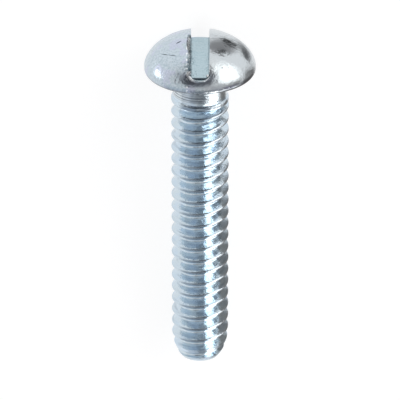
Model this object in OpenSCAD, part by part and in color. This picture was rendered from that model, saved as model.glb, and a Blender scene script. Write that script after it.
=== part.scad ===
// Slotted round-head machine screw, lying at rest on the rim of its head and its thread.
// Its axis runs along Y, head towards +Y, and leans as the head lifts it. Millimetres, floor at z = 0.
// Every module draws the screw upright, with the face under the head at z = 0 and the point below.

/* [Thread] */
// Outside diameter over the crests
thread_d = 3.43; // [3.3:0.01:3.5]
// Distance from crest to crest, the lead of the single right-hand helix
pitch = 0.79375; // [0.7:0.00625:0.85]
// Width of the flat on top of each crest
crest_w = 0.1; // [0.06:0.01:0.14]
// Turn of the thread about the axis, in degrees
thread_turn = 129; // [0:1:359]
// Number of turns over which the groove dies out below the neck
runout_turns = 0.5; // [0.3:0.1:1]

/* [Shank] */
// Length from the face under the head to the end of the point
shank_l = 19.05; // [14:0.05:25.4]
// Plain length between the head and the first thread
neck_l = 1.43; // [1.2:0.01:1.8]
// Depth of the neck's surface below the crests
neck_drop = 0.11; // [0.08:0.01:0.14]
// Radius of the fillet where the neck meets the head
neck_fillet = 0.2; // [0.16:0.01:0.3]
// Length over which the shank rounds in to the point
point_l = 1.77; // [1.4:0.01:2.4]
// Diameter of the flat end of the point
point_d = 2.48; // [2.3:0.01:2.6]

/* [Head] */
// Diameter at the widest part of the head
head_d = 6.59; // [6.1:0.01:6.8]
// Height of the head above the face under it
head_h = 2.363; // [2.3:0.001:2.7]
// Height of the widest part above the face under the head
rim_h = 0.509; // [0.4:0.001:0.6]
// Fullness of the head below the widest part, a greater number making a squarer rim
rim_power = 4; // [3:0.1:6]
// Roundness at the top of the dome, a greater number making it flatter
dome_power = 1.6; // [1.4:0.1:2]
// Roundness at the shoulder of the dome, a greater number making it fuller
shoulder_power = 2.28; // [2:0.01:2.6]

/* [Driver slot] */
// Width of the slot
slot_w = 1.04; // [0.99:0.01:1.22]
// Depth of the slot from the top of the dome
slot_depth = 1.605; // [1.35:0.005:1.75]

/* [Fineness] */
// Facets in one turn of the thread, a multiple of four so that a flat one lies on the floor
thread_steps = 36; // [32:4:40]
// Facets round the head, a multiple of four so that a flat one lies on the floor
head_steps = 48; // [36:4:96]
// Rings in the dome
dome_rings = 18; // [12:1:24]

/* [Hidden] */

thread_r = thread_d / 2;
// A sixty-degree thread: the groove is cut to the usual share of the pitch
thread_depth = 0.6134 * pitch;
flank_rise = tan(30);
root_r = thread_r - thread_depth;
crest_half = crest_w / 2;
root_from_crest = crest_half + thread_depth * flank_rise;
neck_r = thread_r - neck_drop;
head_r = head_d / 2;
point_r = point_d / 2;
dome_h = head_h - rim_h;

// The head's outline from the top of the dome down to the widest part, as radius and height
dome_pts = [
    for (k = [dome_rings:-1:0])
    let (s = sin(90 * k / dome_rings))
    [head_r * pow(max(0, 1 - pow(s, dome_power)), 1 / shoulder_power), rim_h + dome_h * s]
];

// The rim's outline from the widest part down to the face under the head
rim_rings = 7;
rim_turn = 66;
rim_low = sin(rim_turn);
rim_pts = [
    for (k = [1:rim_rings])
    let (s = sin(rim_turn * k / rim_rings))
    [
        head_r * pow(1 - pow(s, rim_power), 1 / rim_power),
        rim_h * (1 - s / rim_low)
    ]
];

// The fillet's outline from the face under the head down to the neck
fillet_rings = 5;
fillet_pts = [
    for (k = [0:fillet_rings])
    let (a = 90 * k / fillet_rings)
    [neck_r + neck_fillet * (1 - sin(a)), -neck_fillet * (1 - cos(a))]
];

// The point's outline from the full thread down to the flat end, on one large arc
point_in = thread_r - point_r;
point_arc = (point_l * point_l + point_in * point_in) / (2 * point_in);
point_rings = 8;
point_pts = [
    for (k = [0:point_rings])
    let (dz = point_l * k / point_rings)
    [thread_r - point_arc + sqrt(point_arc * point_arc - dz * dz), point_l - shank_l - dz]
];

// The lean that lets the widest part of the head and the last full thread touch the floor together
low_pts = concat([dome_pts[dome_rings]], rim_pts);
lean = atan(min([
    for (t = point_pts)
    max([for (h = low_pts) (h[0] - t[0]) / (h[1] - t[1])])
]));
lift = max([for (h = low_pts) h[0] * cos(lean) - h[1] * sin(lean)]);
reach_head = max([for (h = dome_pts) h[1] * cos(lean) + h[0] * sin(lean)]);
reach_point = shank_l * cos(lean) + point_r * sin(lean);
shift = (reach_point - reach_head) / 2;

// Height of the crest, in turns, at the start of the helix, and how the groove dies out below the neck
start_turn = -floor(shank_l / pitch) - 3 + thread_turn / 360;
thread_turns = floor((shank_l - neck_l) / pitch) + 5;
last_groove = -neck_l - 0.34 * pitch;
function groove_share(z) = max(0, min(1, (last_groove - z) / (runout_turns * pitch)));

// How much further out a corner of the many-sided thread lies than the middle of its side
corner = 1 / cos(180 / thread_steps);

// One angle of the helix: both edges of the crest, then both edges of the groove above it
function helix_row(i) =
    let (
        a = 360 * (i + 0.5) / thread_steps,
        z = pitch * (start_turn + (i + 0.5) / thread_steps),
        crest = thread_r * corner,
        root = (thread_r - thread_depth * groove_share(z + pitch / 2)) * corner
    )
    [
        [crest * cos(a), crest * sin(a), z - crest_half],
        [crest * cos(a), crest * sin(a), z + crest_half],
        [root * cos(a), root * sin(a), z + root_from_crest],
        [root * cos(a), root * sin(a), z + pitch - root_from_crest]
    ];

// An outline turned round the axis, with the middle of a flat facet towards each of X and Y
module turned(outline, steps) {
    rotate([0, 0, 180 / steps])
    rotate_extrude($fn = steps)
    polygon(outline);
}

// The screw without its thread: dome, rim, fillet and neck in one turned outline
module blank() {
    turned(
        concat(
            dome_pts,
            rim_pts,
            fillet_pts,
            [[neck_r, -neck_l - 0.1], [0, -neck_l - 0.1]]
        ),
        head_steps
    );
}

// The straight slot across the head for a flat blade, square to X
module driver_slot() {
    translate([-slot_w / 2, -head_d, head_h - slot_depth])
    cube([slot_w, 2 * head_d, slot_depth + 1]);
}

// The whole helix, longer than the shank at both ends
module helix() {
    rows = thread_steps * thread_turns;
    bottom = 4 * (rows + 1);
    top = bottom + 1;
    polyhedron(
        points = concat(
            [for (i = [0:rows]) each helix_row(i)],
            [
                [0, 0, pitch * start_turn],
                [0, 0, pitch * (start_turn + thread_turns + 0.5)]
            ]
        ),
        faces = concat(
            [
                for (i = [0:rows - 1], j = [0:2])
                each [
                    [4 * i + j, 4 * i + j + 1, 4 * i + j + 5],
                    [4 * i + j, 4 * i + j + 5, 4 * i + j + 4]
                ]
            ],
            [
                for (i = [0:rows - thread_steps - 1])
                let (n = 4 * (i + thread_steps))
                each [
                    [4 * i + 3, n, n + 4],
                    [4 * i + 3, n + 4, 4 * i + 7]
                ]
            ],
            [for (i = [0:thread_steps - 1]) [bottom, 4 * i, 4 * i + 4]],
            [
                [bottom, 4 * thread_steps, 3],
                [bottom, 3, 2],
                [bottom, 2, 1],
                [bottom, 1, 0]
            ],
            [for (i = [rows - thread_steps:rows - 1]) [top, 4 * i + 7, 4 * i + 3]],
            [
                [top, 4 * (rows - thread_steps) + 3, 4 * rows],
                [top, 4 * rows, 4 * rows + 1],
                [top, 4 * rows + 1, 4 * rows + 2],
                [top, 4 * rows + 2, 4 * rows + 3]
            ]
        )
    );
}

// The threaded length: the helix trimmed to a cone at the neck and to the rounded point
module threaded_shank() {
    cone = thread_r + 0.1 - neck_r;
    intersection() {
        helix();
        turned(
            concat(
                [
                    [0, 0.05 - neck_l],
                    [neck_r - 0.05, 0.05 - neck_l],
                    [thread_r + 0.1, -neck_l - cone],
                    [thread_r + 0.1, point_l - shank_l + 0.6]
                ],
                point_pts,
                [[0, -shank_l]]
            ),
            thread_steps
        );
    }
}

// The whole screw, laid down with its slot upright
module machine_screw() {
    color([0.72, 0.76, 0.8])
    translate([0, shift, lift])
    rotate([lean - 90, 0, 0]) {
        difference() {
            blank();
            driver_slot();
        }
        threaded_shank();
    }
}

machine_screw();
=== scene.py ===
# %% [markdown]
# # A slotted round-head machine screw
# The screw is a bit over 21 mm long and lies on the floor, as it would come to rest on a table.
# It could be built lying down, but a turned part is easiest to think of upright and in
# millimetres. So it is drawn that way, and laid down in metres at the end, in the frame of the
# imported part.

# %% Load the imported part
import math
import bpy
from mathutils import Matrix, Vector


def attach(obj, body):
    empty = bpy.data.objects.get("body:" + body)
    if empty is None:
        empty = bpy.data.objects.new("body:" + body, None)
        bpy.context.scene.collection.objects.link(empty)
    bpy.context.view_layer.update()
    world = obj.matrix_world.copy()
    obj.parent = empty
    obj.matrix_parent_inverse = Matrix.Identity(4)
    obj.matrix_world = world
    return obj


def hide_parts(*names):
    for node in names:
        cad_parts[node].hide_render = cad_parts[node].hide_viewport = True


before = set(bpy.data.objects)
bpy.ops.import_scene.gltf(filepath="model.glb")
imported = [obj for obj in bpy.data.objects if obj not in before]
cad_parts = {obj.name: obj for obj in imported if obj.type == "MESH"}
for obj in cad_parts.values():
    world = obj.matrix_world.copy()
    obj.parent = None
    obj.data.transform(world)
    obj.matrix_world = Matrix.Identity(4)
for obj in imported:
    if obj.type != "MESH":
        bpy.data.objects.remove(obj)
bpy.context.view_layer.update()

# %% [markdown]
# ## The measures
# A real screw is made to a table of sizes: here a coarse thread of 32 turns to the inch, 3.43 mm
# over its crests, under a head 6.58 mm wide. The numbers could be typed where they are used, but
# then a change in one place would be missed in another, so one set serves every outline.

# %% Sizes in millimetres
PITCH = 0.79375
THREAD_R = 1.715
ROOT_DROP = 0.487
FIRST_CREST = 129 / 360  # height of a crest at the right-hand side, in turns
NECK_R = 1.605
NECK_L = 1.43
FILLET_R = 0.2
SHANK_L = 19.05
POINT_L = 1.77
POINT_R = 1.24
HEAD_R = 3.2919
HEAD_H = 2.361
RIM_H = 0.509
RIM_POWER = 4
RIM_TURN = 66  # degrees of the rim's curve that are used, down to the flat face
DOME_POWER = 1.6
SHOULDER_POWER = 2.28
SLOT_W = 1.04
SLOT_FLOOR = 0.758
print("length over all", SHANK_L + HEAD_H, "mm")

# %% [markdown]
# ## How it lies
# A screw can't stand, so it tips until two things touch the floor: the rim of its head and the
# last full turn of its thread. Its axis then leans by five degrees. A physics run could find that,
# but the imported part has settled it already, so the same lean, lift and shift are used here.

# %% Pose on the floor
LEAN = math.radians(5.059110)
LIFT = 3.244736
SHIFT = 8.351297
AXIS = Vector((0, math.cos(LEAN), math.sin(LEAN)))
UP = Vector((0, -math.sin(LEAN), math.cos(LEAN)))
UNDER_HEAD = Vector((0, SHIFT, LIFT)) / 1000
LAY_DOWN = (Matrix.Translation(UNDER_HEAD)
            @ Matrix.Rotation(LEAN - math.pi / 2, 4, "X")
            @ Matrix.Scale(0.001, 4))
print("lean in degrees", round(math.degrees(LEAN), 3))

# %% [markdown]
# ## Drawing an outline
# A turned part begins as half of its outline. It could be traced with a curve, but a point that is
# extruded again and again, like a pen, gives a corner exactly where each measure says.

# %% Outline
def settle():
    # puts the active piece's place, turn and scale into its mesh
    bpy.ops.object.transform_apply(location=True, rotation=True, scale=True)


def outline(name, points):
    bpy.ops.object.select_all(action="DESELECT")
    first = Vector((points[0][0], 0, points[0][1]))
    bpy.ops.mesh.primitive_plane_add(size=0.1, location=first)
    piece = bpy.context.object
    piece.name = name
    settle()
    bpy.ops.object.mode_set(mode="EDIT")
    bpy.ops.mesh.select_mode(type="VERT")
    bpy.ops.mesh.select_all(action="SELECT")
    bpy.ops.mesh.merge(type="CENTER")
    for a, b in zip(points, points[1:]):
        step = (b[0] - a[0], 0, b[1] - a[1])
        bpy.ops.mesh.extrude_region_move(TRANSFORM_OT_translate={"value": step})
    bpy.ops.object.mode_set(mode="OBJECT")
    return piece


print("helpers: settle and outline")

# %% [markdown]
# ## Sweeping it round
# The Screw modifier does what a lathe does: it turns the outline once round the upright axis. With
# a rise for each turn it makes a thread. Spin would do for the lathe, but not for the helix.

# %% Sweep
def sweep(piece, steps, rise=0.0, turns=1):
    turn = piece.modifiers.new("turn", "SCREW")
    turn.axis = "Z"
    turn.angle = 2 * math.pi
    turn.screw_offset = rise
    turn.iterations = turns
    turn.steps = steps
    turn.render_steps = steps
    turn.use_merge_vertices = rise == 0.0
    turn.merge_threshold = 0.0001
    turn.use_normal_calculate = True
    bpy.ops.object.modifier_apply(modifier=turn.name)
    bpy.ops.object.mode_set(mode="EDIT")
    bpy.ops.mesh.select_all(action="SELECT")
    bpy.ops.mesh.remove_doubles(threshold=0.0005)
    bpy.ops.mesh.normals_make_consistent(inside=False)
    bpy.ops.object.mode_set(mode="OBJECT")
    return piece


print("helper: sweep")

# %% [markdown]
# ## Cutting and joining
# Saws, dies and punches take away or add a shape, and a Boolean is their stand-in. Faces could be
# deleted and bridged by hand, but the exact solver finds the line where two curved shapes meet and
# keeps the walls closed there.

# %% Boolean
def combine(piece, tool, how):
    bpy.ops.object.select_all(action="DESELECT")
    bpy.context.view_layer.objects.active = piece
    piece.select_set(True)
    join = piece.modifiers.new(how.lower(), "BOOLEAN")
    join.operation = how
    join.object = tool
    join.solver = "EXACT"
    bpy.ops.object.modifier_apply(modifier=join.name)
    bpy.data.objects.remove(tool)


print("helper: combine")

# %% [markdown]
# ## The thread's outline
# Rolling presses a groove of sixty degrees into the wire, and the metal that it pushes up makes a
# crest that is rounded rather than sharp. One pitch of it is enough: half a crest is written down
# as height and drop, and mirrored.

# %% One pitch of the thread
TURNS = 26
half = [(0.0, 0.0), (0.022, 0.001), (0.042, 0.008), (0.062, 0.026), (0.085, 0.061),
        (0.150, 0.173), (0.225, 0.303), (0.300, 0.433), (0.330, 0.466), (0.362, 0.483)]
pitch_points = [(THREAD_R - ROOT_DROP, -PITCH / 2)]
pitch_points += [(THREAD_R - drop, -z) for z, drop in reversed(half)]
pitch_points += [(THREAD_R - drop, z) for z, drop in half[1:]]
pitch_points += [(THREAD_R - ROOT_DROP, PITCH / 2)]
start = PITCH * (FIRST_CREST - TURNS)
thread = outline("thread", [(r, z + start) for r, z in pitch_points])
print("points in one pitch", len(pitch_points))

# %% [markdown]
# ## The helix
# The thread is right-hand, so it climbs to the right as seen from the front. One turn could be
# repeated, but a single sweep of 26 turns has no seams. It is longer than the shank at both ends,
# and its raw ends are drawn in to the axis, so that it is a closed solid that can be trimmed.

# %% Sweep the thread and close its ends
THREAD_STEPS = 96
sweep(thread, THREAD_STEPS, PITCH, TURNS)
bpy.ops.object.mode_set(mode="EDIT")
for end in (-1, 1):
    bpy.ops.mesh.select_all(action="DESELECT")
    bpy.ops.mesh.select_mode(type="EDGE")
    bpy.ops.mesh.select_non_manifold(extend=False, use_wire=False, use_boundary=True,
                                     use_multi_face=False, use_non_contiguous=False,
                                     use_verts=False)
    bpy.ops.object.mode_set(mode="OBJECT")
    middle = start + PITCH * TURNS / 2
    for edge in thread.data.edges:
        high = sum(thread.data.vertices[v].co.z for v in edge.vertices) / 2
        edge.select = edge.select and (high - middle) * end > 0
    bpy.ops.object.mode_set(mode="EDIT")
    bpy.ops.mesh.extrude_region_move()
    bpy.ops.mesh.merge(type="CENTER")
bpy.ops.mesh.select_all(action="SELECT")
bpy.ops.mesh.normals_make_consistent(inside=False)
bpy.ops.object.mode_set(mode="OBJECT")
print("thread faces", len(thread.data.polygons))

# %% [markdown]
# ## Where the thread dies out
# The groove doesn't reach the head: the die lets it fade within half a turn below the neck. The
# sweep could be made shallower step by step, but a turned plug that fills the groove there looks
# the same and leaves the helix plain.

# %% Run-out
PLUG_TOP = -1.0
PLUG_END = -2.06
plug = sweep(outline("plug", [
    (0, PLUG_TOP), (THREAD_R - 0.003, PLUG_TOP), (THREAD_R - 0.003, -1.70),
    (THREAD_R - 0.03, -1.74), (THREAD_R - ROOT_DROP - 0.05, PLUG_END), (0, PLUG_END)]),
    THREAD_STEPS)
combine(thread, plug, "UNION")
print("faces with the run-out", len(thread.data.polygons))

# %% [markdown]
# ## The point
# The far end is rounded on one large arc, so that the screw finds its hole, and cut off flat. It
# could be shaped turn by turn, but on the real screw the wire is rounded first, so an envelope
# with that outline is turned, and only what lies inside it is kept.

# %% Point
ARC_STEPS = 16
inward = THREAD_R - POINT_R
arc = (POINT_L ** 2 + inward ** 2) / (2 * inward)
rounded = []
for k in range(ARC_STEPS + 1):
    down = POINT_L * k / ARC_STEPS
    rounded.append((THREAD_R - arc + math.sqrt(arc * arc - down * down),
                    POINT_L - SHANK_L - down))
edge_r = rounded[-1][0]
envelope = sweep(outline("envelope", [
    (0, 0.03 - NECK_L), (NECK_R - 0.03, 0.03 - NECK_L), (THREAD_R - 0.01, -NECK_L - 0.10),
    (THREAD_R + 0.05, -NECK_L - 0.2), (THREAD_R + 0.05, POINT_L - SHANK_L + 0.5)]
    + rounded[:-1] + [(edge_r - 0.01, -SHANK_L + 0.012), (edge_r - 0.035, -SHANK_L),
                      (0, -SHANK_L)]), THREAD_STEPS)
combine(thread, envelope, "INTERSECT")
print("trimmed thread faces", len(thread.data.polygons))

# %% [markdown]
# ## The head
# A punch strikes the head from the same wire: a round dome, a full rim, a flat face beneath, a
# small fillet and a short plain neck. A sphere would be too round at the shoulder, so the dome
# follows a curve with a power of its own, and the rim another.

# %% Outline of the head
HEAD_STEPS = 160
DOME_RINGS = 40
RIM_RINGS = 14
FILLET_RINGS = 8
dome = []
for k in range(DOME_RINGS, -1, -1):
    s = math.sin(math.radians(90 * k / DOME_RINGS))
    dome.append((HEAD_R * max(0.0, 1 - s ** DOME_POWER) ** (1 / SHOULDER_POWER),
                 RIM_H + (HEAD_H - RIM_H) * s))
rim = []
for k in range(1, RIM_RINGS + 1):
    s = math.sin(math.radians(RIM_TURN * k / RIM_RINGS))
    rim.append((HEAD_R * (1 - s ** RIM_POWER) ** (1 / RIM_POWER),
                RIM_H * (1 - s / math.sin(math.radians(RIM_TURN)))))
fillet = []
for k in range(FILLET_RINGS + 1):
    a = math.radians(90 * k / FILLET_RINGS)
    fillet.append((NECK_R + FILLET_R * (1 - math.sin(a)), -FILLET_R * (1 - math.cos(a))))
neck = [(NECK_R, -NECK_L - 0.06), (0, -NECK_L - 0.06)]
head = sweep(outline("head", dome + rim + fillet + neck), HEAD_STEPS)
print("head faces", len(head.data.polygons))

# %% [markdown]
# ## The slot
# A saw cuts the slot straight across the dome. Near the front its floor drops, which leaves the
# dark step that the photograph shows, and its walls lean outwards a little at the top. Faces could
# be pushed down one by one, but a slab with the outline of the saw's path cuts it in one go.

# %% Slabs for cutting
def slab(name, points, right_side, width):
    # a plate with this outline of y and z, from its right side to the left
    piece = outline(name, points)
    bpy.ops.object.mode_set(mode="EDIT")
    bpy.ops.mesh.select_all(action="SELECT")
    bpy.ops.mesh.edge_face_add()
    bpy.ops.mesh.extrude_region_move(TRANSFORM_OT_translate={"value": (0, width, 0)})
    bpy.ops.mesh.select_all(action="SELECT")
    bpy.ops.mesh.normals_make_consistent(inside=False)
    bpy.ops.object.mode_set(mode="OBJECT")
    piece.matrix_world = (Matrix.Translation((right_side, 0, 0))
                          @ Matrix.Rotation(math.pi / 2, 4, "Z"))
    settle()
    return piece


print("helper: slab")

# %% Pushing corners
def push(piece, sideways, is_chosen):
    # moves the corners that are chosen by their place
    bpy.ops.object.mode_set(mode="EDIT")
    bpy.ops.mesh.select_mode(type="VERT")
    bpy.ops.mesh.select_all(action="DESELECT")
    bpy.ops.object.mode_set(mode="OBJECT")
    for corner in piece.data.vertices:
        corner.select = is_chosen(corner.co)
    bpy.ops.object.mode_set(mode="EDIT")
    bpy.ops.transform.translate(value=(sideways, 0, 0))
    bpy.ops.object.mode_set(mode="OBJECT")


print("helper: push")

# %% Saw
FAR = 6
ABOVE_DOME = 2.6
LEAN_END = 1.2
STEP_FLOOR = 0.36
saw = slab("saw", [
    (FAR, SLOT_FLOOR), (FAR, ABOVE_DOME), (LEAN_END, ABOVE_DOME), (-FAR, ABOVE_DOME),
    (-FAR, 1.24), (-2.86, 1.24), (-2.84, STEP_FLOOR), (-2.28, STEP_FLOOR), (-2.24, 0.70),
    (-2.19, SLOT_FLOOR)], SLOT_W / 2, SLOT_W)
print("saw", [round(n, 2) for n in saw.dimensions])

# %% Lean its walls and cut
LEFT_LEAN = -0.05
RIGHT_LEAN = 0.06


def leans(at):
    # the upper corners, as far back as the walls lean
    return at.z > ABOVE_DOME - 0.1 and at.y < LEAN_END + 0.1


push(saw, LEFT_LEAN, lambda at: at.x < 0 and leans(at))
push(saw, RIGHT_LEAN, lambda at: at.x > 0 and leans(at))
combine(head, saw, "DIFFERENCE")
print("head faces with the slot", len(head.data.polygons))

# %% [markdown]
# ## The broken edge
# Drivers have slipped out of the slot over its left edge and broken it, so it is wide and
# ragged, and painted shade darkens it next to the wall. A bevel would tangle the small faces
# there, so a cutter follows the dome instead: its lower side lies 0.24 mm under the skin, and its
# upper side flares out over it.

# %% The dome's skin beside the slot
WALL_X = -SLOT_W / 2


def skin(y):
    share = 1 - (math.hypot(y, WALL_X) / HEAD_R) ** SHOULDER_POWER
    return RIM_H + (HEAD_H - RIM_H) * max(0.0, share) ** (1 / DOME_POWER)


print("skin at the middle", round(skin(0), 3), "mm")

# %% Broken edge
INSIDE_X = -0.30
BREAK_WIDE = 0.22
UNDER_SKIN = 0.24
OVER_SKIN = 0.20
FRONT_Y = -2.70
BREAK_STEPS = 24
BREAK_STEP = 0.125
lower, upper = [], []
for k in range(BREAK_STEPS + 1):
    y = FRONT_Y + BREAK_STEP * k
    out = Vector((skin(y - 0.01) - skin(y + 0.01), 0.02)).normalized()
    lower.append((y - UNDER_SKIN * out.x, skin(y) - UNDER_SKIN * out.y))
    upper.append((y + OVER_SKIN * out.x, skin(y) + OVER_SKIN * out.y))
breaker = slab("breaker", lower + upper[::-1], INSIDE_X, INSIDE_X - WALL_X)
push(breaker, -BREAK_WIDE * (1 + OVER_SKIN / UNDER_SKIN),
     lambda at: at.x < INSIDE_X - 0.1 and at.z > skin(at.y))
combine(head, breaker, "DIFFERENCE")
print("head faces with the broken edge", len(head.data.polygons))

# %% [markdown]
# ## The mouth of the slot
# Where the slot comes out at the front, its metal is bent outwards, so the mouth is round and a
# little wider. It could be pushed out by hand in sculpt mode, but a lying cylinder cuts the same
# round opening in one go, and its place can be read off in numbers.

# %% Mouth
MOUTH_Z = 1.30
MOUTH_HALF = (0.60, 0.38)
bpy.ops.mesh.primitive_cylinder_add(vertices=96, radius=1, depth=4, location=(0, -4.8, MOUTH_Z),
                                    rotation=(math.pi / 2, 0, 0))
mouth_saw = bpy.context.object
mouth_saw.scale = (*MOUTH_HALF, 1)
settle()
combine(head, mouth_saw, "DIFFERENCE")
print("head faces with the mouth", len(head.data.polygons))

# %% [markdown]
# ## The burr
# Round the lower half of the mouth the saw has turned up a thin bright burr. A bevel of the edge
# would be too even and too small, so half of a thin ring, flattened and leaned like the dome
# there, is joined on.

# %% Burr
BURR_AT = (0, -2.875, 1.255)
BURR_R = 0.07
BURR_TOP = 1.22
BURR_SQUEEZE = 0.64
RIGHT = Vector((1, 0, 0))
down_dome = Vector((0, -0.584, -0.812))
bpy.ops.mesh.primitive_torus_add(major_segments=96, minor_segments=14,
                                 major_radius=MOUTH_HALF[0], minor_radius=BURR_R)
lip = bpy.context.object
lip.matrix_world = (Matrix.Translation(BURR_AT)
                    @ Matrix((RIGHT, down_dome, RIGHT.cross(down_dome))).transposed().to_4x4()
                    @ Matrix.Diagonal((1, BURR_SQUEEZE, 1, 1)))
settle()
bpy.ops.object.mode_set(mode="EDIT")
bpy.ops.mesh.select_all(action="SELECT")
bpy.ops.mesh.bisect(plane_co=(0, 0, BURR_TOP), plane_no=(0, 0, 1), clear_outer=True,
                    use_fill=True)
bpy.ops.object.mode_set(mode="OBJECT")
combine(head, lip, "UNION")
print("head faces with the burr", len(head.data.polygons))

# %% [markdown]
# ## The bead
# On the right, above the burr, a bright bead of metal is left by the wall. It could be drawn out
# of the ring, but a small stretched ball is easier to set at its place. It stays whole, and is
# joined at the end, because a Boolean can lose a ball that it doesn't cut.

# %% Bead
BEAD_AT = (0.44, -2.85, 1.18)
BEAD_HALF = (0.07, 0.06, 0.13)
bpy.ops.mesh.primitive_uv_sphere_add(segments=24, ring_count=12, radius=1, location=BEAD_AT)
bead = bpy.context.object
bead.name = "bead"
bead.scale = BEAD_HALF
settle()
print("bead faces", len(bead.data.polygons))

# %% [markdown]
# ## Nicks and scratches
# Screws tumble against each other in a barrel, which leaves marks on the dome: here a nick, a
# scratch in two strokes and a small dent. A mark could be painted on, but it wouldn't catch the
# light, so each is pressed in by a thin lens that lies between two points of the dome.

# %% Pressing a mark
def gouge(at, to, wide, deep):
    middle = (Vector(at) + Vector(to)) / 2
    out = Vector((middle.x / HEAD_R ** 2, middle.y / HEAD_R ** 2, (middle.z - 0.3) / 4.2))
    out.normalize()
    run = Vector(to) - Vector(at)
    half_run = run.length / 2
    run.normalize()
    cross = out.cross(run).normalized()
    bpy.ops.mesh.primitive_uv_sphere_add(segments=24, ring_count=12, radius=1)
    lens = bpy.context.object
    lens.matrix_world = (Matrix.Translation(middle)
                         @ Matrix((run, cross, run.cross(cross))).transposed().to_4x4()
                         @ Matrix.Diagonal((half_run, wide / 2, deep, 1)))
    settle()
    combine(head, lens, "DIFFERENCE")


print("helper: gouge")

# %% Marks on the dome
MARKS = (
    # from, to, width and depth in mm: nick, two strokes of the scratch, dent
    ((-1.40, -0.555, 2.165), (-1.085, -0.375, 2.254), 0.10, 0.08),
    ((-2.282, -0.945, 1.69), (-1.83, -1.36, 1.815), 0.045, 0.04),
    ((-1.86, -1.33, 1.81), (-1.36, -1.63, 1.90), 0.045, 0.04),
    ((1.22, -2.37, 1.50), (1.36, -2.36, 1.48), 0.07, 0.03),
)
for at, to, wide, deep in MARKS:
    gouge(at, to, wide, deep)
print("head faces with its marks", len(head.data.polygons))

# %% [markdown]
# ## One piece
# Head and shank are one piece of steel. They could just be pushed together, but then the walls
# inside would stay, so a Boolean joins them. Open edges are counted afterwards, because a closed
# skin is what makes a solid: the three that are left are a slit of no width in the run-out.

# %% Join and count open edges
combine(head, thread, "UNION")
bead.select_set(True)
bpy.ops.object.join()
screw = head
screw.name = "screw_detail"
bpy.ops.object.mode_set(mode="EDIT")
bpy.ops.mesh.select_mode(type="EDGE")
bpy.ops.mesh.select_all(action="DESELECT")
bpy.ops.mesh.select_non_manifold()
bpy.ops.object.mode_set(mode="OBJECT")
print("faces", len(screw.data.polygons), "open edges", sum(e.select for e in screw.data.edges))

# %% [markdown]
# ## Laying it down
# The finished screw is turned, lifted and shrunk to metres. The object could keep that place, but
# patterns and the export start from the origin, so the place goes into the mesh. Smooth shading
# stops at edges sharper than 32 degrees, which keeps the slot crisp and the dome round.

# %% Lay it down
SHARP = math.radians(32)
screw.matrix_world = LAY_DOWN
settle()
bpy.ops.object.shade_smooth_by_angle(angle=SHARP)
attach(screw, "root")
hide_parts("machine_screw")
print("screw in millimetres", [round(1000 * n, 3) for n in screw.dimensions])

# %% [markdown]
# ## Small node helpers
# A finish is built from many small sums. Nodes could be placed by hand one by one, but five
# helpers keep the sums readable: arithmetic, a product of shares, a smooth step between two
# limits, a mix of two colours, and a noise.

# %% Node helpers
def maths(tree, kind, a, b=0.0):
    node = tree.nodes.new("ShaderNodeMath")
    node.operation = kind
    for socket, value in zip(node.inputs, (a, b)):
        if isinstance(value, (int, float)):
            socket.default_value = value
        else:
            tree.links.new(value, socket)
    return node.outputs[0]


def times(tree, first, *others):
    for other in others:
        first = maths(tree, "MULTIPLY", first, other)
    return first


def spread(tree, value, low, high, out_low, out_high):
    node = tree.nodes.new("ShaderNodeMapRange")
    node.interpolation_type = "SMOOTHSTEP"
    tree.links.new(value, node.inputs["Value"])
    limits = (("From Min", low), ("From Max", high), ("To Min", out_low), ("To Max", out_high))
    for name, number in limits:
        node.inputs[name].default_value = number
    return node.outputs["Result"]


print("helpers: maths, times and spread")

# %% Colours and noises
def blend(tree, share, a, b):
    node = tree.nodes.new("ShaderNodeMix")
    node.data_type = "RGBA"
    tree.links.new(share, node.inputs["Factor"])
    for socket, value in ((node.inputs["A"], a), (node.inputs["B"], b)):
        if isinstance(value, tuple):
            socket.default_value = (*value, 1)
        else:
            tree.links.new(value, socket)
    return node.outputs["Result"]


def speckle(tree, where, scale, detail):
    node = tree.nodes.new("ShaderNodeTexNoise")
    tree.links.new(where, node.inputs["Vector"])
    node.inputs["Scale"].default_value = scale
    node.inputs["Detail"].default_value = detail
    return node.outputs["Fac"]


print("helpers: blend and speckle")

# %% [markdown]
# ## Bright zinc
# The steel carries a few thousandths of a millimetre of zinc, passivated clear: a pale, faintly
# blue metal. Pictures of metal could be wrapped round it, but they would hold someone else's
# light. Full metal is set instead, and nearly all that is seen of it is what it reflects.

# %% Zinc plate
zinc = bpy.data.materials.new("zinc_plate")
zinc.use_nodes = True
tree = zinc.node_tree
shader = tree.nodes["Principled BSDF"]
shader.inputs["Metallic"].default_value = 1.0
screw.data.materials.clear()
screw.data.materials.append(zinc)
print("slots", [slot.name for slot in screw.data.materials])

# %% [markdown]
# ## Finding a place on the screw
# Colours could be painted on an unwrapped skin, but then they wouldn't follow the measures. So a
# Mapping node turns Object coordinates back upright and into millimetres: px to the right, py
# away, pz up the screw. Reach is the distance from the axis, and climb is constant along a thread.

# %% Coordinates
place = tree.nodes.new("ShaderNodeMapping")
place.inputs["Scale"].default_value = (1000, 1000, 1000)
place.inputs["Rotation"].default_value = (math.pi / 2 - LEAN, 0, 0)
place.inputs["Location"].default_value = LAY_DOWN.inverted().translation
tree.links.new(tree.nodes.new("ShaderNodeTexCoord").outputs["Object"], place.inputs["Vector"])
upright = place.outputs["Vector"]
parts = tree.nodes.new("ShaderNodeSeparateXYZ")
tree.links.new(upright, parts.inputs[0])
px, py, pz = parts.outputs
reach = maths(tree, "SQRT", maths(tree, "ADD", times(tree, px, px), times(tree, py, py)))
angle = maths(tree, "ARCTAN2", px, times(tree, py, -1.0))
climb = maths(tree, "SUBTRACT", pz, times(tree, angle, PITCH / (2 * math.pi)))
on_head = spread(tree, pz, -0.1, 0.0, 0.0, 1.0)
on_left = spread(tree, px, -0.2, 0.5, 1.0, 0.0)
print("origin of the pattern", [round(n, 3) for n in LAY_DOWN.inverted().translation])

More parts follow.
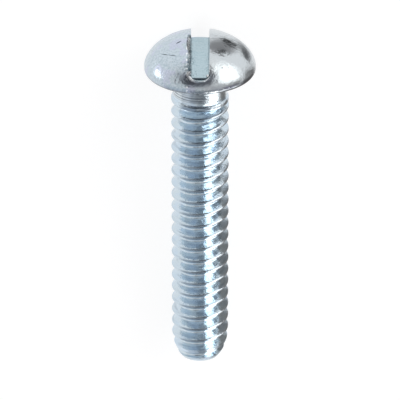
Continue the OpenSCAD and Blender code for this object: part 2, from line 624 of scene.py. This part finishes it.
# %% [markdown]
# ## Unevenness
# Plating is never quite even. One noise could do, but real marks have several sizes: slow clouds,
# finer grain, chips, and strands drawn out along the thread, as the rolling dies drag them.

# %% Noises
cloud = speckle(tree, upright, 1.3, 3)
grain = speckle(tree, upright, 8, 3)
chips = speckle(tree, upright, 4, 2)
strand = tree.nodes.new("ShaderNodeCombineXYZ")
tree.links.new(times(tree, climb, 7.0), strand.inputs["X"])
tree.links.new(times(tree, angle, 0.8), strand.inputs["Y"])
drawn = speckle(tree, strand.outputs[0], 1.0, 3)
print("nodes so far", len(tree.nodes))

# %% [markdown]
# ## Colour of the thread
# The crests are painted darker in front, as painted shade, and paler where they face sideways,
# as painted highlights. One colour could serve the whole thread, but light bounces twice in a
# groove and looks deeper there than it is written, so grooves and crests are told apart by their
# reach.

# %% Thread colour
GROOVE = (0.58, 0.69, 0.79)
GROOVE_WORN = (0.62, 0.71, 0.77)
DRAWN_DARK = (0.34, 0.42, 0.50)
CREST_FRONT_SHADE = (0.26, 0.33, 0.40)
CREST_RIGHT_HIGHLIGHT = (0.62, 0.67, 0.72)
CREST_LEFT_HIGHLIGHT = (0.58, 0.67, 0.74)
tint = blend(tree, spread(tree, cloud, 0.35, 0.65, 0.0, 1.0), GROOVE, GROOVE_WORN)
tint = blend(tree, spread(tree, drawn, 0.30, 0.48, 0.5, 0.0), tint, DRAWN_DARK)
# painted shade on the crests in front, painted highlights on the crests at both sides
crest = blend(tree, spread(tree, px, 0.3, 1.0, 0.0, 1.0), CREST_FRONT_SHADE, CREST_RIGHT_HIGHLIGHT)
crest = blend(tree, spread(tree, px, -1.35, -0.85, 1.0, 0.0), crest, CREST_LEFT_HIGHLIGHT)
tint = blend(tree, spread(tree, reach, 1.64, 1.70, 0.0, 0.85), tint, crest)
print("thread colours", GROOVE, CREST_FRONT_SHADE)

# %% [markdown]
# ## Colour of the head
# The right of the dome is glossy and the left satin, with blotches of grey and a faint violet, as
# thin clear coats show. Two materials could split it, but they would leave a seam, so the colours
# are mixed softly from left to right.

# %% Head colour
HEAD_GLOSS = (0.60, 0.645, 0.675)
HEAD_SATIN = (0.56, 0.64, 0.70)
HEAD_BLOTCH = (0.41, 0.50, 0.56)
HEAD_VIOLET = (0.55, 0.58, 0.73)
blotched = times(tree, on_left, spread(tree, grain, 0.36, 0.60, 0.75, 0.0))
clouded = times(tree, on_left, spread(tree, cloud, 0.50, 0.62, 0.0, 0.6))
head_tint = blend(tree, on_left, HEAD_GLOSS, HEAD_SATIN)
head_tint = blend(tree, blotched, head_tint, HEAD_BLOTCH)
head_tint = blend(tree, clouded, head_tint, HEAD_VIOLET)
print("head colours", HEAD_GLOSS, HEAD_SATIN)

# %% [markdown]
# ## The lower edge of the head
# The lower edge is darkened with painted shade, highest up on the right.
# A band of faces could have its own colour, but a mix by height has no hard end.

# %% Painted shade on the lower edge
LOWER_EDGE_SHADE = (0.27, 0.29, 0.32)
UNDER_EDGE_SHADE = (0.12, 0.13, 0.15)
# painted shade: the lower part of the head, and a darker band along its under edge
lower_shade = times(tree, on_head, spread(tree, pz, 0.10, 0.50, 0.80, 0.0))
head_tint = blend(tree, lower_shade, head_tint, LOWER_EDGE_SHADE)
edge_top = spread(tree, px, 0.8, 1.4, 0.16, 0.46)
edge_share = spread(tree, maths(tree, "SUBTRACT", pz, edge_top), 0.0, 0.14, 0.7, 0.0)
head_tint = blend(tree, times(tree, on_head, edge_share), head_tint, UNDER_EDGE_SHADE)
print("edge colours", LOWER_EDGE_SHADE, UNDER_EDGE_SHADE)

# %% [markdown]
# ## Colour of the neck
# The plain neck is painted darker in front, as painted shade, and paler at its sides, as painted
# highlights, much as the crests are. It could share their colour, but it has no groove beside it
# to deepen the look, so it has two greys of its own.

# %% Neck colour
NECK_SIDE_HIGHLIGHT = (0.62, 0.68, 0.72)
NECK_FRONT_SHADE = (0.38, 0.43, 0.47)
# painted shade on the front of the neck, painted highlights at its sides
neck_front = times(tree, spread(tree, px, -0.75, -0.45, 0.0, 1.0),
                   spread(tree, px, 0.28, 0.42, 1.0, 0.0))
neck_tint = blend(tree, neck_front, NECK_SIDE_HIGHLIGHT, NECK_FRONT_SHADE)
head_tint = blend(tree, on_head, neck_tint, head_tint)
tint = blend(tree, spread(tree, pz, -1.35, -1.15, 0.0, 1.0), tint, head_tint)
print("neck colours", NECK_SIDE_HIGHLIGHT, NECK_FRONT_SHADE)

# %% [markdown]
# ## Scores on the neck
# The edge of the die leaves a few fine dark lines on the left and front of the neck. They could be
# cut, but at a twentieth of a millimetre they are finer than the mesh, so they are drawn.

# %% Scores
SCORES = ((-0.80, 0.4), (-0.94, 0.85), (-1.11, 0.6), (-1.22, 0.4))  # height in mm, strength
SCORE_DARK = (0.12, 0.15, 0.18)
for at, strength in SCORES:
    off_line = maths(tree, "ABSOLUTE", maths(tree, "SUBTRACT", pz, at))
    score = times(tree, spread(tree, off_line, 0.02, 0.05, strength, 0.0),
                  spread(tree, px, 0.10, 0.35, 1.0, 0.0),
                  spread(tree, drawn, 0.35, 0.55, 0.4, 1.0))
    tint = blend(tree, score, tint, SCORE_DARK)
print("scores", len(SCORES))

# %% [markdown]
# ## In the slot
# The sawn floor and walls have a greener, duller zinc than the dome. The faces could be picked by
# hand, but the dome's own formula finds them all: swell is 1 on its skin and less under it.

# %% Under the skin
rise = times(tree, maths(tree, "SUBTRACT", pz, RIM_H), 1 / (HEAD_H - RIM_H))
rise = maths(tree, "MAXIMUM", rise, 0.0)
swell = maths(tree, "ADD",
              maths(tree, "POWER", times(tree, reach, 1 / HEAD_R), SHOULDER_POWER),
              maths(tree, "POWER", rise, DOME_POWER))
above_rim = spread(tree, pz, 0.2, 0.3, 0.0, 1.0)
inside = times(tree, spread(tree, swell, 0.93, 0.97, 1.0, 0.0), above_rim)
on_skin = spread(tree, swell, 0.95, 0.99, 0.0, 1.0)
print("nodes so far", len(tree.nodes))

# %% Slot colour
SAWN = (0.40, 0.53, 0.59)
SAWN_PALE = (0.46, 0.585, 0.64)
BROKEN = (0.78, 0.82, 0.84)
slot_tint = blend(tree, spread(tree, grain, 0.36, 0.62, 0.0, 1.0), SAWN, SAWN_PALE)
slot_tint = blend(tree, spread(tree, px, -0.62, -0.54, 1.0, 0.0), slot_tint, BROKEN)
tint = blend(tree, inside, tint, slot_tint)
print("slot colours", SAWN, SAWN_PALE, BROKEN)

# %% [markdown]
# ## Painted shade in the recesses
# Four places are darkened with painted shade: the step at the front of the slot, its two walls
# and the nicks. Where two of them meet, the darker one counts.

# %% Painted shade in the recesses
RECESS_SHADE = (0.10, 0.12, 0.14)
RECESS_SHADE_SHARE = 0.85
# painted shade in the step, along both walls of the slot and in the nicks
step_shade = times(tree, inside, spread(tree, py, -2.26, -2.20, 0.35, 0.0))
left_wall_shade = times(tree, inside, spread(tree, px, -0.50, -0.44, 1.0, 0.0),
                  spread(tree, px, -0.66, -0.58, 0.1, 1.0),
                  spread(tree, grain, 0.36, 0.62, 1.0, 0.2))
right_wall_shade = times(tree, inside, spread(tree, px, 0.46, 0.52, 0.0, 0.6))
nick_shade = times(tree, spread(tree, swell, 0.975, 0.995, 1.0, 0.0), above_rim,
                  spread(tree, px, -0.8, -0.7, 1.0, 0.0))
recess_shade = step_shade
for more in (left_wall_shade, right_wall_shade, nick_shade):
    recess_shade = maths(tree, "MAXIMUM", recess_shade, more)
tint = blend(tree, times(tree, recess_shade, RECESS_SHADE_SHARE), tint, RECESS_SHADE)
print("recess_shade", RECESS_SHADE)

# %% [markdown]
# ## Round the mouth
# A dark ring round the burr is a painted dark reflection on the dome below the mouth. A painted
# mask would do, but the distance from the middle of the mouth, squeezed like the burr, gives the
# same ring without one.

# %% Painted dark reflection round the mouth
RING_CENTRE_X = -0.12
MOUTH_DARK_REFLECTION = (0.17, 0.19, 0.23)
ring = tree.nodes.new("ShaderNodeCombineXYZ")
tree.links.new(times(tree, maths(tree, "SUBTRACT", px, RING_CENTRE_X), 0.85), ring.inputs["X"])
tree.links.new(times(tree, maths(tree, "SUBTRACT", pz, MOUTH_Z), 1.45), ring.inputs["Y"])
length = tree.nodes.new("ShaderNodeVectorMath")
length.operation = "LENGTH"
tree.links.new(ring.outputs[0], length.inputs[0])
away = length.outputs["Value"]
# painted dark reflection: a dark ring on the dome round the burr
dark_ring = times(tree, spread(tree, away, 0.60, 1.25, 0.85, 0.0),
                spread(tree, away, 0.56, 0.60, 0.0, 1.0),
                spread(tree, pz, 1.15, 1.42, 1.0, 0.0),
                spread(tree, py, -2.4, -2.2, 1.0, 0.0))
tint = blend(tree, dark_ring, tint, MOUTH_DARK_REFLECTION)
print("dark_ring_reflection", MOUTH_DARK_REFLECTION)

# %% [markdown]
# ## Bright bits
# The burr, and a few chips along the broken edge, carry painted highlights: a paler colour that
# glints. They could be pieces with a material of their own, but a paler colour placed by the same
# measures keeps the screw one piece.

# %% Painted highlights on the burr and the chips
GLINT_HIGHLIGHT = (0.88, 0.91, 0.93)
CHIPPED_X = -0.76
# painted highlights on the burr and on chips of the broken edge
burr_highlight = times(tree, spread(tree, away, 0.55, 0.59, 1.0, 0.0),
                   spread(tree, py, -2.72, -2.66, 1.0, 0.0), on_skin,
                   spread(tree, maths(tree, "ABSOLUTE", px), 0.25, 0.45, 0.2, 1.0))
off_edge = maths(tree, "ABSOLUTE", maths(tree, "SUBTRACT", px, CHIPPED_X))
chip_highlight = times(tree, spread(tree, off_edge, 0.03, 0.07, 1.0, 0.0),
                   spread(tree, chips, 0.53, 0.58, 0.0, 1.0), on_skin, above_rim,
                   spread(tree, py, -1.0, -0.8, 1.0, 0.0))
tint = blend(tree, maths(tree, "MAXIMUM", burr_highlight, chip_highlight), tint, GLINT_HIGHLIGHT)
tree.links.new(tint, shader.inputs["Base Color"])
print("nodes so far", len(tree.nodes))

# %% [markdown]
# ## Gloss
# The plating is glossy on the right, a little duller on the left of the dome and in its clouds.
# One roughness could serve, but then every reflection would be equally sharp, so it follows the
# same noises as the colour.

# %% Roughness
satin = times(tree, on_head, on_left)
rough = maths(tree, "ADD", spread(tree, cloud, 0.3, 0.7, 0.11, 0.19),
              times(tree, satin, spread(tree, grain, 0.3, 0.7, 0.01, 0.06)))
tree.links.new(rough, shader.inputs["Roughness"])
print("nodes so far", len(tree.nodes))

# %% [markdown]
# ## Fine relief
# The dies leave drawn lines on the thread, and the dome is softly wavy, which breaks up the edges
# of what it reflects. Both could be modelled, but they are a few hundredths of a millimetre deep,
# so a bump does it.

# %% Bump
CLOUD_WAVE = 4.0
RELIEF = 0.00003  # metres
RELIEF_SHARE = 0.6
off_head = maths(tree, "SUBTRACT", 1.0, on_head)
dome_wave = maths(tree, "ADD", times(tree, satin, 0.5), 0.6)
waves = maths(tree, "ADD", grain, times(tree, cloud, CLOUD_WAVE))
height = maths(tree, "ADD", times(tree, drawn, off_head), times(tree, dome_wave, waves))
bump = tree.nodes.new("ShaderNodeBump")
bump.inputs["Strength"].default_value = RELIEF_SHARE
bump.inputs["Distance"].default_value = RELIEF
tree.links.new(height, bump.inputs["Height"])
tree.links.new(bump.outputs["Normal"], shader.inputs["Normal"])
print("nodes in the zinc plate", len(tree.nodes))

# %% [markdown]
# ## The floor
# The screw lies on white paper. Stronger lamps could whiten it, but they would bleach the metal.
# So the paper glows for the camera and for reflections, just enough to be white, while its own
# middle grey still takes the screw's shadow.

# %% Paper
PAPER_GREY = 0.36
PAPER_GLOW = 0.80
bpy.ops.object.select_all(action="DESELECT")
bpy.ops.mesh.primitive_plane_add(size=4, location=(0, 0, 0))
floor = bpy.context.object
floor.name = "floor"
paper = bpy.data.materials.new("paper")
paper.use_nodes = True
sheet = paper.node_tree
surface = sheet.nodes["Principled BSDF"]
surface.inputs["Base Color"].default_value = (PAPER_GREY, PAPER_GREY, PAPER_GREY, 1)
surface.inputs["Roughness"].default_value = 0.9
surface.inputs["Specular IOR Level"].default_value = 0.0
path = sheet.nodes.new("ShaderNodeLightPath")
mirrored = maths(sheet, "MAXIMUM", path.outputs["Is Glossy Ray"],
                 path.outputs["Is Transmission Ray"])
seen = maths(sheet, "MAXIMUM", path.outputs["Is Camera Ray"], mirrored)
surface.inputs["Emission Color"].default_value = (1, 1, 1, 1)
sheet.links.new(times(sheet, seen, PAPER_GLOW), surface.inputs["Emission Strength"])
floor.data.materials.append(paper)
print("floor", [round(n, 2) for n in floor.dimensions], "m")

# %% [markdown]
# ## Cards that the metal reflects
# Bright metal shows its surroundings, and a photographer shapes it with dark cards. They could
# stand about the screw, but a card that lies on the paper is easy to place: follow the reflection
# of a mark down to the floor. These have soft edges, and only reflections see them. They draw the
# grey patch and the dark streaks on the right of the dome, and the grey side of the shank.

# %% Dark cards
CARD_GAP = 0.00002  # metres between a card and the next one under it
CARDS = (
    # name, x and y of the middle in mm, length, width, turn in degrees, grey, firm part
    ("card_grey", 3.7, 17.2, 7.6, 13.0, -10, (0.52, 0.51, 0.51), 0.25),
    ("card_dark", 5.7, 19.6, 4.6, 8.0, -24, (0.07, 0.07, 0.07), 0.25),
    ("card_spot", 3.4, 12.5, 3.2, 2.2, 12, (0.05, 0.05, 0.05), 0.35),
    ("card_streak", 5.8, 11.0, 8.0, 3.8, 14, (0.22, 0.22, 0.22), 0.12),
    ("card_rim", 12.0, 8.4, 15.0, 2.6, 8, (0.24, 0.24, 0.24), 0.25),
    ("card_far", 25.0, 4.0, 44.0, 24.0, 0, (0.50, 0.49, 0.48), 0.30),
    ("card_shank", 8.0, -7.0, 13.0, 36.0, 0, (0.40, 0.38, 0.36), 0.38),
)
print("cards", [row[0] for row in CARDS])

# %% Lay the cards
def only_in_reflections(piece):
    piece.visible_camera = False
    piece.visible_shadow = False
    piece.visible_diffuse = False


for number, (name, x, y, long, wide, turn, grey, firm) in enumerate(CARDS, 1):
    bpy.ops.mesh.primitive_plane_add(size=1, location=(x / 1000, y / 1000, CARD_GAP * number))
    card = bpy.context.object
    card.name = name
    card.rotation_euler = (0, 0, math.radians(turn))
    card.scale = (long / 1000, wide / 1000, 1)
    matt = bpy.data.materials.new(name)
    matt.use_nodes = True
    nodes = matt.node_tree
    face = nodes.nodes["Principled BSDF"]
    face.inputs["Base Color"].default_value = (*grey, 1)
    face.inputs["Roughness"].default_value = 0.9
    face.inputs["Specular IOR Level"].default_value = 0.0
    size = nodes.nodes.new("ShaderNodeVectorMath")
    size.operation = "LENGTH"
    nodes.links.new(nodes.nodes.new("ShaderNodeTexCoord").outputs["Object"], size.inputs[0])
    nodes.links.new(spread(nodes, size.outputs["Value"], firm, 0.5, 1.0, 0.0), face.inputs["Alpha"])
    card.data.materials.append(matt)
    only_in_reflections(card)
print("cards laid", len(CARDS))

# %% [markdown]
# ## The strip light
# The white line down the shank is the reflection of a long narrow light beside it. A lamp would
# light the paper too, so a plane that only reflections see glows instead. It hangs along the
# screw, turned a little, because the line wanders to the right on its way down, and ends below the
# head. A second one carries on at its end, because the smooth neck shows a wider line.

# %% Glow of the strips
STRIP_GLOW = 3.2
glow = bpy.data.materials.new("strip_light")
glow.use_nodes = True
nodes = glow.node_tree
face = nodes.nodes["Principled BSDF"]
face.inputs["Base Color"].default_value = (0, 0, 0, 1)
face.inputs["Specular IOR Level"].default_value = 0.0
face.inputs["Emission Color"].default_value = (1.0, 1.0, 0.98, 1)
across = nodes.nodes.new("ShaderNodeSeparateXYZ")
nodes.links.new(nodes.nodes.new("ShaderNodeTexCoord").outputs["Object"], across.inputs[0])
off_middle = maths(nodes, "ABSOLUTE", across.outputs["X"])
soft = times(nodes, spread(nodes, off_middle, 0.38, 0.5, 1.0, 0.0),
             spread(nodes, across.outputs["Y"], 0.47, 0.5, 1.0, 0.0))
nodes.links.new(times(nodes, soft, STRIP_GLOW), face.inputs["Emission Strength"])
nodes.links.new(soft, face.inputs["Alpha"])
print("glow", STRIP_GLOW)

# %% Hang the strips
STRIPS = (
    # name, place of the middle in mm, bearing and turn in degrees, width, length
    ("strip", (8.6, -14.0, 9.1), 46, 12, 8.8, 31.2),
    ("strip_end", (8.5, 2.5, 8.1), 57, 0, 7.6, 2.6),
)
for name, middle, bearing, turn, wide, long in STRIPS:
    bpy.ops.mesh.primitive_plane_add(size=1)
    strip = bpy.context.object
    strip.name = name
    strip.matrix_world = (Matrix.Translation(Vector(middle) / 1000)
                          @ Matrix.Rotation(math.radians(bearing), 4, "Y")
                          @ Matrix.Rotation(math.radians(turn), 4, "Z")
                          @ Matrix.Diagonal((wide / 1000, long / 1000, 1, 1)))
    strip.data.materials.append(glow)
    only_in_reflections(strip)
print("strip lights", len(STRIPS))

# %% [markdown]
# ## The room
# The rest of what the metal shows is a pale room. A picture of a studio could surround the screw,
# but then the file wouldn't stand alone, so the room is painted on the world by direction: a
# bearing round the screw, from the camera's side to the right, and a height towards the head.
# Three bands of height have a ramp of greys each.

# %% Directions round the screw
world = bpy.data.worlds.new("studio")
bpy.context.scene.world = world
world.use_nodes = True
room = world.node_tree


def along(tree, direction, axis):
    node = tree.nodes.new("ShaderNodeVectorMath")
    node.operation = "DOT_PRODUCT"
    tree.links.new(direction, node.inputs[0])
    node.inputs[1].default_value = axis
    return node.outputs["Value"]


looking = room.nodes.new("ShaderNodeTexCoord").outputs["Generated"]
ahead = along(room, looking, AXIS)
bearing = maths(room, "ARCTAN2", along(room, looking, RIGHT), along(room, looking, UP))
turned = times(room, maths(room, "ADD", bearing, math.pi), 1 / (2 * math.pi))
print("axis of the directions", [round(n, 3) for n in AXIS])

# %% Bands and patches
def wall(tree, turned, stops):
    node = tree.nodes.new("ShaderNodeValToRGB")
    tree.links.new(turned, node.inputs["Fac"])
    ramp = node.color_ramp
    for k, (degrees, colour) in enumerate(stops):
        spot = (degrees + 180) / 360
        if k in (0, len(stops) - 1):
            stop = ramp.elements[0 if k == 0 else -1]
            stop.position = spot
        else:
            stop = ramp.elements.new(spot)
        stop.color = (*colour, 1)
    return node.outputs["Color"]


def lobe(bearing, height, core, rim_angle):
    # how far a direction lies within a round patch of the room: 1 in its core, 0 outside its rim
    b, h = math.radians(bearing), math.radians(height)
    toward = (math.sin(b) * math.cos(h) * RIGHT
              + math.cos(b) * math.cos(h) * UP + math.sin(h) * AXIS)
    return spread(room, along(room, looking, toward), math.cos(math.radians(rim_angle)),
                  math.cos(math.radians(core)), 0.0, 1.0)


print("helpers: wall and lobe")

# %% Walls of the room
low_wall = wall(room, turned, [
    (-180, (0.60, 0.60, 0.60)), (-90, (0.64, 0.66, 0.70)), (-45, (0.66, 0.70, 0.765)),
    (-22, (0.52, 0.54, 0.575)), (-10, (0.30, 0.32, 0.35)), (10, (0.30, 0.32, 0.34)),
    (20, (0.34, 0.36, 0.38)), (45, (0.40, 0.40, 0.44)), (66, (0.56, 0.52, 0.74)),
    (80, (0.42, 0.42, 0.45)), (90, (0.35, 0.34, 0.35)), (180, (0.5, 0.5, 0.5))])
middle_wall = wall(room, turned, [
    (-180, (0.75, 0.75, 0.75)), (-90, (0.90, 0.90, 0.90)), (-45, (0.86, 0.86, 0.86)),
    (-20, (0.72, 0.70, 0.68)), (0, (0.85, 0.82, 0.80)), (25, (0.50, 0.50, 0.52)),
    (45, (0.60, 0.60, 0.61)), (80, (0.35, 0.34, 0.33)), (180, (0.5, 0.5, 0.5))])
high_wall = wall(room, turned, [
    (-180, (0.8, 0.8, 0.8)), (-100, (0.93, 0.93, 0.93)), (-50, (0.86, 0.84, 0.83)),
    (0, (0.7, 0.7, 0.7)), (60, (0.95, 0.95, 0.95)), (180, (0.8, 0.8, 0.8))])
print("nodes in the room so far", len(room.nodes))

# %% [markdown]
# ## A window and dark patches
# The bright patch on the right of the dome is a window, and the dark ones are what stands near the
# camera, the camera itself among them. Planes could stand there, but round patches painted on the
# room are softer and throw no shadows.

# %% Sky and patches
ABOVE_HEAD = (1.0, 1.0, 0.98)
PATCHES = (
    # bearing, height, core and rim in degrees, colour: the window first
    (73, 34, 8, 40, (2.0, 2.0, 1.95)),
    (0, 58, 16, 30, (0.14, 0.14, 0.15)),
    (-22, 32, 12, 26, (0.12, 0.12, 0.13)),
    (8, 34, 12, 28, (0.30, 0.30, 0.31)),
)
sky = blend(room, spread(room, ahead, -0.43, -0.33, 0.0, 1.0), low_wall, middle_wall)
sky = blend(room, spread(room, ahead, 0.04, 0.24, 0.0, 1.0), sky, high_wall)
sky = blend(room, spread(room, ahead, 0.86, 0.97, 0.0, 1.0), sky, ABOVE_HEAD)
for at, up, core, rim_angle, colour in PATCHES:
    sky = blend(room, lobe(at, up, core, rim_angle), sky, colour)
room.links.new(sky, room.nodes["Background"].inputs["Color"])
room.nodes["Background"].inputs["Strength"].default_value = 1.0
print("nodes in the room", len(room.nodes))

# %% [markdown]
# ## A small light from the left
# The crisp white mark low on the left of the dome is a small lamp close to it. A patch of the room
# could make it, but the room is too soft. The lamp is long and leans, because the round dome bends
# it upright, and its cone is narrow, to spare the crests.

# %% Kicker
KICKER_AT = (-0.013, 0.0122, 0.0028)
KICKER_LEAN = math.radians(-45)
KICKER_SIDES = (0.0012, 0.0064)
KICKER_WATTS = 0.00002
bpy.ops.object.light_add(type="AREA")
kicker = bpy.context.object
kicker.name = "kicker"
kicker.matrix_world = (Matrix.Translation(KICKER_AT)
                       @ Matrix.Rotation(KICKER_LEAN, 4, "X")
                       @ Matrix.Rotation(math.radians(-90), 4, "Y"))
kicker.data.shape = "RECTANGLE"
kicker.data.size, kicker.data.size_y = KICKER_SIDES
kicker.data.energy = KICKER_WATTS
kicker.data.spread = math.radians(60)
print("kicker", KICKER_WATTS, "W")

# %% [markdown]
# ## The camera
# The photograph was taken from the front, with the camera raised towards the head. Its place could
# be found by trying, but height, distance and lens were fitted to the outline of the screw. The
# camera looks straight at the axis, with no shift.

# %% Camera
AIM = UNDER_HEAD - AXIS * 0.008537
CAMERA_HEIGHT = math.radians(28.585)
DISTANCE = 0.22158
FOCAL_PX = 3697.13
IMAGE_PX = 400
SENSOR_MM = 36
back = UP * math.cos(CAMERA_HEIGHT) + AXIS * math.sin(CAMERA_HEIGHT)
bpy.ops.object.camera_add(location=AIM + back * DISTANCE)
camera = bpy.context.object
camera.matrix_world = (Matrix.Translation(AIM + back * DISTANCE)
                       @ Matrix((RIGHT, back.cross(RIGHT), back)).transposed().to_4x4())
camera.data.sensor_width = SENSOR_MM
camera.data.lens = FOCAL_PX / IMAGE_PX * SENSOR_MM
camera.data.clip_start = 0.01
bpy.context.scene.camera = camera
bpy.context.scene.view_settings.view_transform = "Standard"
print("lens", round(camera.data.lens, 1), "mm")
